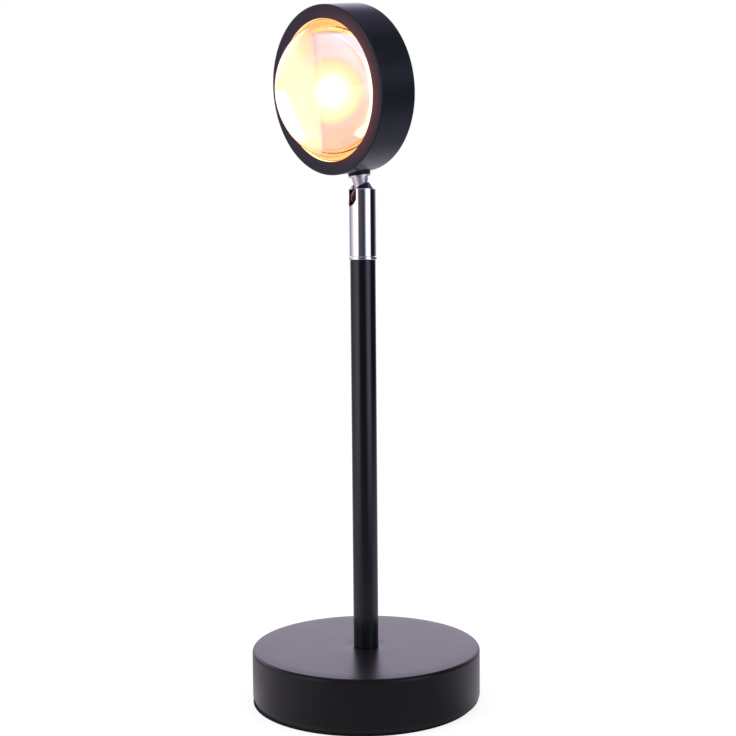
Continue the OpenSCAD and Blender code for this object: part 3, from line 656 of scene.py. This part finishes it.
# Coats: colour, grain, cloud, dust, sheen, its spread, depth and index of refraction.
# Metals: colour, wipe marks, pits, sheen, its spread and depth.
finishes = {
    "foam": coated("foam", (0.012, 0.012, 0.013), 0.5, 0.5, 0.5, 0.85, 0.1, 0.25, 1.25),
    "plate_black": coated(
        "plate black", (0.006, 0.0055, 0.007), 0.25, 0.2, 0.4, 0.4, 0.1, 0.02, 1.4
    ),
    "zinc": bare("zinc", (0.62, 0.63, 0.65), 0.4, 0.4, 0.28, 0.2, 0.02),
    "base_black": coated(
        "base black", (0.0045, 0.0035, 0.0050), 0.22, 0.18, 0.10, 0.30, 0.05, 0.010, 1.36
    ),
    "post_black": coated(
        "post black", (0.0042, 0.0045, 0.0065), 0.25, 0.15, 0.12, 0.20, 0.05, 0.008
    ),
    "iron": coated("iron", (0.12, 0.12, 0.125), 1.2, 0.5, 0.2, 0.7, 0.2, 0.25),
    "brass": bare("brass", (0.78, 0.6, 0.28), 0.5, 0.3, 0.3, 0.2, 0.03),
    "rubber_black": coated(
        "rubber black", (0.012, 0.012, 0.013), 0.4, 0.2, 0.5, 0.6, 0.1, 0.03, 1.4
    ),
    "heat_shrink": coated("heat shrink", (0.42, 0.03, 0.02), 0.6, 0.2, 0.1, 0.4, 0.1, 0.05),
    "wire": coated("wire", (0.45, 0.025, 0.02), 0.4, 0.15, 0.1, 0.3, 0.08, 0.02),
    "chrome": bare("chrome", (0.93, 0.92, 0.94), 0.2, 0.12, 0.035, 0.03, 0.003),
    "spring_steel": bare("spring steel", (0.35, 0.35, 0.36), 0.5, 0.3, 0.3, 0.2, 0.02),
    "nylon": coated("nylon", (0.74, 0.71, 0.60), 0.5, 0.1, 0.05, 0.45, 0.1, 0.03),
    # The ball's dark red is painted shade of the slot and a painted reddish reflection.
    "ball_steel": bare("ball steel with painted shade", (0.055, 0.008, 0.010), 0.5, 0.4, 0.25, 0.15, 0.01),
    "washer_black": coated(
        "washer black", (0.008, 0.008, 0.009), 0.3, 0.2, 0.2, 0.55, 0.1, 0.02, 1.4
    ),
    "head_black": head_black(),
    "lens_glass": lens_glass(),
    "lens_back": lens_back(),
    "filter_glass": filter_glass(),
    # The chamber and the board glow with painted light from the source.
    "chamber_white": white_with_painted_glow(
        "chamber white", DISC_R,
        [
            (0.35, (1.0, 0.62, 0.48)), (0.6, (1.0, 0.56, 0.44)), (0.86, (1.0, 0.45, 0.30)),
            (1.0, (0.6, 0.25, 0.08)),
        ],
        700.0, 3.0, (0.80, 0.79, 0.77), (0.88, 0.87, 0.85), 0.5,
    ),
    "board_white": white_with_painted_glow(
        "board white", BOARD_R,
        [(0.15, (1.0, 0.66, 0.50)), (0.64, (1.0, 0.60, 0.40)), (0.7, UNLIT)],
        900.0, 2.0, (0.82, 0.82, 0.80), (0.90, 0.90, 0.88), 0.4,
    ),
    "phosphor": phosphor(),
    "screw_black": coated(
        "screw black", (0.012, 0.012, 0.014), 0.25, 0.2, 0.2, 0.3, 0.1, 0.02
    ),
}


def dress(piece, slot):
    """Gives a piece one finish on all its faces."""
    piece.data.materials.clear()
    piece.data.materials.append(finishes[slot])


slot_of = {part["node"]: part["material_slot"] for part in frame["record"]["subparts"]}
for node_name, node in frame["nodes"].items():
    dress(node, slot_of[node_name])


def stands_for(piece, body, *nodes):
    """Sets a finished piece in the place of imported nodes, with their finish."""
    if not piece.data.materials:
        dress(piece, slot_of[nodes[0]])
    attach(piece, body)
    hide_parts(*nodes)
    return piece


# ----------------------------------------------------------------- pieces
def drum():
    """The base's pressed drum, with its shallow dish and the inlet's hole."""
    crown = [
        (BASE_R - CROWN_IN + CROWN_W * k / 8, BASE_TOP - CROWN * (k / 8) ** 2)
        for k in range(8, -1, -1)
    ]
    dish = [
        (DISH_R - (DISH_R - DISH_FLAT_R) * t, BASE_TOP - DISH_DEPTH * t ** 2.6)
        for t in (k / 16 for k in range(17))
    ]
    outline = rounded([
        (BASE_R, PLATE_TOP, 0.2), (BASE_R, BASE_TOP - 1.2 * CROWN, 1.5), *crown,
        (DISH_R + 0.5, BASE_TOP), *dish,
        (NIPPLE_HOLE_R, BASE_TOP - DISH_DEPTH), (NIPPLE_HOLE_R, BASE_TOP - STEEL),
        (BASE_R - STEEL, BASE_TOP - STEEL, 0.6), (BASE_R - STEEL, PLATE_TOP),
    ], 10)
    hole = round_bar("hole", INLET_HOLE_R, 20, 60, inlet_frame)
    return joined(turned("drum", outline, sides=256), hole, "DIFFERENCE")


def foam_pad():
    """The foam pad, stuck on a little off the axis."""
    side = math.radians(PAD_SIDE)
    place = Matrix.Translation((PAD_SHIFT * math.cos(side), PAD_SHIFT * math.sin(side), 0))
    outline = rounded([(0, 0), (PAD_R, 0, 0.35), (PAD_R, PAD_T, 0.15), (0, PAD_T)], 5)
    return turned("foam_pad", outline, place)


def post():
    """The straight tube between the base and the swivel."""
    low = BASE_TOP - DISH_DEPTH
    return turned("post", rounded([
        (POST_R, low, 0.15), (POST_R, POST_TOP, 0.15), (POST_BORE_R, POST_TOP), (POST_BORE_R, low),
    ], 4), sides=128)


def sleeve():
    """The chromed sleeve, with its conical shoulder, ball socket, stop groove and slot."""
    meet = math.degrees(math.acos(MOUTH_R / SOCKET_R))
    outline = rounded([
        (SLEEVE_R, SLEEVE_BOTTOM, 0.2), (SLEEVE_R, SLEEVE_TOP - SHOULDER_H, 0.8),
        (MOUTH_R + 0.2, SLEEVE_TOP, 0.1), (MOUTH_R, SLEEVE_TOP),
        *arc((0, BALL_Z), SOCKET_R, meet, 0, 16),
        (SOCKET_R, BEARING_TOP), (BEARING_R, BEARING_TOP),
        (BEARING_R, STOP_Z + STOP_HALF), (STOP_R, STOP_Z + STOP_HALF),
        (STOP_R, STOP_Z - STOP_HALF), (BEARING_R, STOP_Z - STOP_HALF),
        (BEARING_R, SLEEVE_BOTTOM),
    ])
    slot = [(SLOT_HALF, SLOT_RISE), (-SLOT_HALF, SLOT_RISE)]
    for a in (math.pi * (1 + k / 32) for k in range(33)):
        slot.append((SLOT_HALF * math.cos(a), SLOT_HALF * math.sin(a)))
    tool = prism("slot", slot, 0, SLOT_REACH, slot_frame @ spin("X", 90))
    piece = joined(turned("sleeve", outline, sides=144), tool, "DIFFERENCE")
    return soften_edges(piece, 0.12, 50)


def insert():
    """The turned insert in the post's top: collar, spigot, clip groove and wire bore."""
    return turned("insert", rounded([
        (WIRE_BORE_R, INSERT_LOW), (INSERT_R, INSERT_LOW, 0.3), (INSERT_R, POST_TOP),
        (COLLAR_R, POST_TOP, 0.25), (COLLAR_R, SLEEVE_BOTTOM, 0.25), (SPIGOT_R, SLEEVE_BOTTOM),
        (SPIGOT_R, CLIP_LOW), (CLIP_R, CLIP_LOW), (CLIP_R, CLIP_HIGH), (SPIGOT_R, CLIP_HIGH),
        (SPIGOT_R, SPIGOT_TOP, 0.2), (WIRE_BORE_R, SPIGOT_TOP),
    ], 5, 0.05), sides=128)


def stud():
    """The hollow stud, with its tapered neck and flange."""
    flange_top = FLANGE_H + FLANGE_T
    piece = turned("stud", rounded([
        (STUD_BORE_R, STUD_LOW), (STUD_R, STUD_LOW), (STUD_R, STUD_STEP), (NECK_R, STUD_STEP),
        (NECK_R, TAPER_LOW), (TAPER_R, TAPER_TOP, 0.4), (TAPER_R, FLANGE_H),
        (FLANGE_R, FLANGE_H, 0.2), (FLANGE_R, flange_top, 0.1), (THREAD_R, flange_top),
        (THREAD_R, STUD_TOP), (STUD_BORE_R, STUD_TOP),
    ], 5, 0.05), on_neck, 96)
    neck_steel = bare("neck steel", (0.78, 0.72, 0.73), 0.9, 0.7, 0.36, 0.35, 0.03)
    piece.data.materials.append(neck_steel)
    return piece


def ball():
    """The bored ball, flat where the neck sits on it and hollowed below for the clip."""
    flat = math.sqrt(BALL_R ** 2 - NECK_R ** 2)
    high = math.degrees(math.atan2(flat, NECK_R))
    low = -math.degrees(math.acos(BALL_SINK_R / BALL_R))
    outline = [*arc((0, 0), BALL_R, low, high, 40)]
    outline += [(BALL_BORE_R, flat), (BALL_BORE_R, BALL_SINK), (BALL_SINK_R, BALL_SINK)]
    return turned("ball", outline, on_neck, 96)


def on_circle(radius, *degrees):
    """Points (x, y) on a circle, by angle."""
    return [(radius * math.cos(a), radius * math.sin(a)) for a in map(math.radians, degrees)]


# The three lugs that take the rear cover's screws, across and down from the head's axis.
lug_places = on_circle(LUG_CIRCLE, -90, 30, 150)


def head_drum():
    """The head's drum with its front ring, lugs and threaded boss."""
    bore = HEAD_R - HEAD_WALL
    piece = turned("head_drum", rounded([
        (APERTURE_R, 0, 0.3), (HEAD_R, 0, 0.5), (HEAD_R, HEAD_DEPTH, 0.5),
        (bore + COVER_LEDGE, HEAD_DEPTH, 0.15), (bore + COVER_LEDGE, COVER_SEAT),
        (bore, COVER_SEAT), (bore, RING_T), (APERTURE_R, RING_T, 0.2),
    ]), in_head, 256)
    lug = on_circle(LUG_R, *(90 + 7.5 * k for k in range(25)))
    lug += [(LUG_WEB, -LUG_R), (LUG_WEB, LUG_R)]
    for across, down in lug_places:
        outwards = Matrix.Rotation(math.atan2(down, across), 4, "Z")
        place = in_head @ Matrix.Translation((across, down, 0)) @ outwards
        joined(piece, prism("lug", lug, COVER_SEAT - LUG_H, COVER_SEAT, place), "UNION")
    boss = [(-BOSS_HALF, BOSS_IN), (BOSS_HALF, BOSS_IN)]
    boss += [(BOSS_HALF, BOSS_OUT), (-BOSS_HALF, BOSS_OUT)]
    joined(piece, prism("boss", boss, BOSS_FRONT, COVER_SEAT, in_head), "UNION")
    for across, down in lug_places:
        place = in_head @ Matrix.Translation((across, down, 0))
        hole = round_bar("screw_hole", LUG_HOLE_R, HEAD_DEPTH - 6.0, HEAD_DEPTH, place, 48)
        joined(piece, hole, "DIFFERENCE")
    return joined(piece, round_bar("stud_hole", THREAD_R + 0.05, 8.0, 18.0, on_neck), "DIFFERENCE")


def lens():
    """The domed lens on its thin disc, with painted glow on its flat back."""
    dome_ball_r = (DOME_R ** 2 + DOME_H ** 2) / (2 * DOME_H)
    middle = RING_T - DOME_H + dome_ball_r
    edge = math.degrees(math.atan2(RING_T - middle, DOME_R))
    outline = [(0, RING_T - DOME_H)]
    outline += list(arc((0, middle), dome_ball_r, -90, edge, 96))[1:]
    outline += rounded([
        (0, DISC_BACK), (DOME_R + 0.05, RING_T), (DISC_R, RING_T, 0.15), (DISC_R, DISC_BACK, 0.15),
    ], 4)[1:]
    outline += [(0, DISC_BACK)]
    piece = turned("lens_dome", outline, in_head, 256)
    piece.data.materials.append(finishes["lens_glass"])
    piece.data.materials.append(finishes["lens_back"])
    back = in_head.to_3x3() @ Vector((0, 0, 1))
    for face in piece.data.polygons:
        face.material_index = int(face.normal.dot(back) > 0.99)
    return piece


def cover():
    """The rear cover: a disc with a thick middle pad and three countersunk holes."""
    piece = turned("rear_cover", rounded([
        (0, HEAD_DEPTH), (COVER_R, HEAD_DEPTH, 0.2), (COVER_R, COVER_SEAT, 0.1),
        (COVER_PAD_R, COVER_SEAT), (COVER_PAD_R, COVER_PAD), (0, COVER_PAD),
    ], 5), in_head, 256)
    # A countersink over a clearance hole.
    sink = [(0, 18.4), (2.42, 18.4), (2.42, 17.56), (1.33, 16.44), (1.33, 14.0), (0, 14.0)]
    for across, down in lug_places:
        place = in_head @ Matrix.Translation((across, down, 0))
        joined(piece, turned("sink", sink, place, 64), "DIFFERENCE")
    return piece


def grommet():
    """The rubber grommet of the lead's inlet: outer flange, waist and snap-in ring."""
    return turned("grommet", rounded([
        (GROMMET_BORE_R, GROMMET_IN), (GROMMET_RING_R, GROMMET_IN, 0.45),
        (GROMMET_RING_R, GROMMET_RING, 0.3), (GROMMET_WAIST_R, GROMMET_RING),
        (GROMMET_WAIST_R, BASE_R), (GROMMET_FLANGE_R, BASE_R),
        (GROMMET_FLANGE_R, GROMMET_OUT, 0.6), (GROMMET_BORE_R, GROMMET_OUT, 0.35),
    ], 6), inlet_frame, 96)


def screw_tree():
    """Geometry Nodes for screws on points: head, thread ridge and cross recess, in
    millimetres."""
    tree = bpy.data.node_groups.new("screws", "GeometryNodeTree")
    tree.interface.new_socket("Points", in_out="INPUT", socket_type="NodeSocketGeometry")
    sizes = {"Thread": 1.25, "Head": 2.35, "Neck": 1.25, "Rise": 1.1, "Length": 6.0, "Pitch": 0.5}
    sockets(tree, sizes, {"Screws": "NodeSocketGeometry"})
    tree.interface.new_socket("Metal", in_out="INPUT", socket_type="NodeSocketMaterial")
    w = Wiring(tree)
    given, out = w.node("NodeGroupInput").outputs, w.node("NodeGroupOutput")

    def cone(corners, low, high, depth):
        return w.node(
            "GeometryNodeMeshCone", {"fill_type": "NGON"}, Vertices=corners,
            Radius_Bottom=low, Radius_Top=high, Depth=depth,
        ).outputs[0]

    def share(name, part):
        return w.math("MULTIPLY", given[name], part)

    head = cone(48, given["Head"], given["Neck"], given["Rise"])
    shank = cone(32, share("Thread", 0.86), share("Thread", 0.8), given["Length"])
    wide, long, deep = share("Head", 0.26), share("Head", 1.1), share("Rise", 1.1)
    recess = w.node("GeometryNodeMeshBoolean", {"operation": "UNION"})
    for x, y in ((long, wide), (wide, long)):
        size = w.node("ShaderNodeCombineXYZ", X=x, Y=y, Z=deep).outputs[0]
        tree.links.new(w.node("GeometryNodeMeshCube", Size=size).outputs[0], recess.inputs[1])
    cut = w.node("GeometryNodeMeshBoolean", {"operation": "DIFFERENCE"})
    tree.links.new(head, cut.inputs[0])
    tree.links.new(recess.outputs[0], cut.inputs[1])
    threaded = w.math("SUBTRACT", given["Length"], given["Rise"])
    ridge = share("Thread", 0.93)
    spiral = w.node(
        "GeometryNodeCurveSpiral", Resolution=28,
        Rotations=w.math("DIVIDE", threaded, given["Pitch"]), Start_Radius=ridge,
        End_Radius=ridge, Height=w.math("SUBTRACT", threaded, given["Pitch"]),
    ).outputs[0]
    profile = w.node("GeometryNodeCurvePrimitiveCircle", Resolution=4, Radius=share("Thread", 0.07))
    thread = w.node(
        "GeometryNodeCurveToMesh", Curve=spiral, Profile_Curve=profile.outputs[0], Fill_Caps=True
    ).outputs[0]
    lift = w.math("MULTIPLY_ADD", given["Pitch"], 0.5, given["Rise"])
    lift = w.node("ShaderNodeCombineXYZ", Z=lift).outputs[0]
    raised = w.node("GeometryNodeTransform", Geometry=thread, Translation=lift)
    screw = w.node("GeometryNodeJoinGeometry")
    for part in (cut.outputs[0], shank, raised.outputs[0]):
        tree.links.new(part, screw.inputs[0])
    spots = w.node("GeometryNodeMeshToPoints", Mesh=given["Points"]).outputs[0]
    placed = w.node("GeometryNodeInstanceOnPoints", Points=spots, Instance=screw.outputs[0])
    real = w.node("GeometryNodeRealizeInstances", Geometry=placed.outputs[0]).outputs[0]
    dressed = w.node("GeometryNodeSetMaterial", Geometry=real, Material=given["Metal"])
    tree.links.new(dressed.outputs[0], out.inputs[0])
    return tree


screw_nodes = screw_tree()


def screws(name, spots, place, slot, **sizes):
    """Screws at spots (x, y) in a local frame: heads at 0, threads upwards."""
    points = bpy.data.meshes.new(name)
    points.from_pydata([(x, y, 0) for x, y in spots], [], [])
    piece = new_object(name, points)
    build = piece.modifiers.new("screws", "NODES")
    build.node_group = screw_nodes
    values = {**sizes, "Metal": finishes[slot]}
    for socket in screw_nodes.interface.items_tree:
        if socket.name in values:
            build[socket.identifier] = values[socket.name]
    apply_modifiers(piece)
    piece.data.transform(Matrix.Scale(MM, 4) @ place)
    shade_smooth(piece.data)
    return piece


def foot_screws():
    """Three screws that hold the base's plate. The pad covers their heads."""
    place = Matrix.Translation((0, 0, PAD_T))
    return screws("plate_screws", on_circle(FOOT_CIRCLE, 30, 150, 270), place, "zinc",
                  Thread=1.5, Head=2.6, Neck=1.5, Rise=1.1, Length=8.0, Pitch=0.5)


def rear_screws():
    """Three screws that hold the rear cover."""
    place = in_head @ Matrix.Translation((0, 0, HEAD_DEPTH)) @ spin("X", 180)
    return screws("rear_screws", [(x, -y) for x, y in lug_places], place, "screw_black",
                  Thread=1.25, Head=2.35, Neck=1.25, Rise=1.1, Length=6.0, Pitch=0.45)


def board_screws():
    """Two screws that hold the light source's board."""
    place = in_head @ Matrix.Translation((0, 0, BOARD_FACE))
    return screws("board_screws", [(-BOARD_SCREW_X, 0), (BOARD_SCREW_X, 0)], place, "zinc",
                  Thread=1.0, Head=1.75, Neck=1.9, Rise=1.1, Length=3.7, Pitch=0.4)


stands_for(drum(), "stand", "base_shell")
stands_for(foam_pad(), "stand", "base_pad")
stands_for(post(), "stand", "stem_tube")
stands_for(insert(), "stand", "swivel_insert")
stands_for(sleeve(), "sleeve", "swivel_sleeve")
stands_for(head_drum(), "head", "head_shell")
stands_for(stud(), "head", "neck_stud")
stands_for(ball(), "ball", "swivel_ball")
stands_for(lens(), "head", "lens")
stands_for(cover(), "head", "head_cover")
stands_for(grommet(), "stand", "cable_grommet")
stands_for(foot_screws(), "stand", "base_plate_screws")
stands_for(rear_screws(), "head", "cover_screws")
stands_for(board_screws(), "head", "led_screws")

# ----------------------------------------------------------------- studio
def studio_world():
    """White to the eye; shiny pieces see a tent with darker gaps, fixed in the room."""
    world = bpy.data.worlds.new("studio")
    bpy.context.scene.world = world
    world.use_nodes = True
    w = Wiring(world.node_tree)
    light = world.node_tree.nodes["Background"]
    way = w.node("ShaderNodeTexCoord").outputs["Generated"]
    height = w.node("ShaderNodeSeparateXYZ", i0=way).outputs[2]
    bands = w.node("ShaderNodeGroup", {"node_tree": tent}, Way=way).outputs["Far"]
    side = math.radians(CAMERA_SIDE)
    # The tent's roof: brighter behind the lamp than on the camera's side.
    behind = w.towards(way, (-math.sin(side), math.cos(side), 0.0))
    roof = w.mix(w.spread(behind, -0.1, 0.55), (0.50, 0.53, 0.68), (1.80, 1.63, 2.05))
    # Above it all is dark, but for a soft light nearly overhead.
    overhead = w.ramp(height, [
        (0.52, WHITE), (0.62, (0.12, 0.12, 0.14)), (0.84, (0.08, 0.08, 0.10)),
        (0.90, (0.55, 0.52, 0.58)), (0.955, (0.55, 0.52, 0.58)), (0.985, (0.12, 0.12, 0.15)),
    ])
    rising = w.mix(w.spread(height, 0.06, 0.30), bands, roof)
    tone = w.mix(1.0, rising, overhead, "MULTIPLY")
    # A dark panel at the camera's right, above the walls.
    aside = w.towards(way, (math.cos(side), math.sin(side), 0.0))
    dim = w.product(w.between(aside, 0.50, 0.68), w.between(height, 0.26, 0.34))
    tone = w.mix(dim, tone, (0.05, 0.05, 0.07))
    direct, glossy = w.rays()
    seen = w.mix(glossy, (0.85, 0.85, 0.87), tone)
    w.fill(light, Color=w.mix(direct, seen, WHITE))


def soft_lamp(name, at):
    """A round soft light of 1 m, 2.5 W, aimed at the lamp's post."""
    lamp = bpy.data.lights.new(name, "AREA")
    lamp.shape, lamp.size, lamp.energy = "DISK", 1.0, 2.5
    way = Vector((0, 0, 0.12)) - Vector(at)
    turn = way.to_track_quat("-Z", "Y").to_matrix().to_4x4()
    new_object(name, lamp).matrix_world = Matrix.Translation(at) @ turn


def floor():
    """A plain pale floor that keeps a light shadow."""
    shape = bmesh.new()
    bmesh.ops.create_grid(shape, x_segments=1, y_segments=1, size=6)
    mesh = bpy.data.meshes.new("floor")
    shape.to_mesh(mesh)
    shape.free()
    piece = new_object("floor", mesh)
    made, w, shader = finish("pale floor")
    at = w.place()
    colour = w.ramp(w.noise(at, 3.0), [(0.0, (0.30, 0.30, 0.30)), (1.0, (0.32, 0.32, 0.32))])
    # In reflections it glows: pale by the base, then the near bands, then the far ones.
    bands = w.node("ShaderNodeGroup", {"node_tree": tent}, Way=at).outputs
    away = w.node("ShaderNodeVectorMath", {"operation": "LENGTH"}, i0=at).outputs["Value"]
    close = w.spread(away, 0.24, 0.14, To_Max=0.30)
    near = w.mix(close, bands["Near"], (1.0, 0.92, 1.0))
    seen = w.mix(w.spread(away, 0.25, 1.1), near, bands["Far"])
    direct, glossy = w.rays()
    w.fill(
        shader, Base_Color=w.mix(glossy, colour, UNLIT),
        Emission_Color=w.mix(direct, w.mix(glossy, UNLIT, seen), (0.79, 0.79, 0.79)),
        Emission_Strength=1.0, Roughness=1.0, Specular_IOR_Level=0.0,
    )
    mesh.materials.append(made)


studio_world()
soft_lamp("left_lamp", (-0.3, -1.4, 0.9))
soft_lamp("right_lamp", (1.4, 0.3, 0.9))
floor()
bpy.context.scene.view_settings.view_transform = "Standard"

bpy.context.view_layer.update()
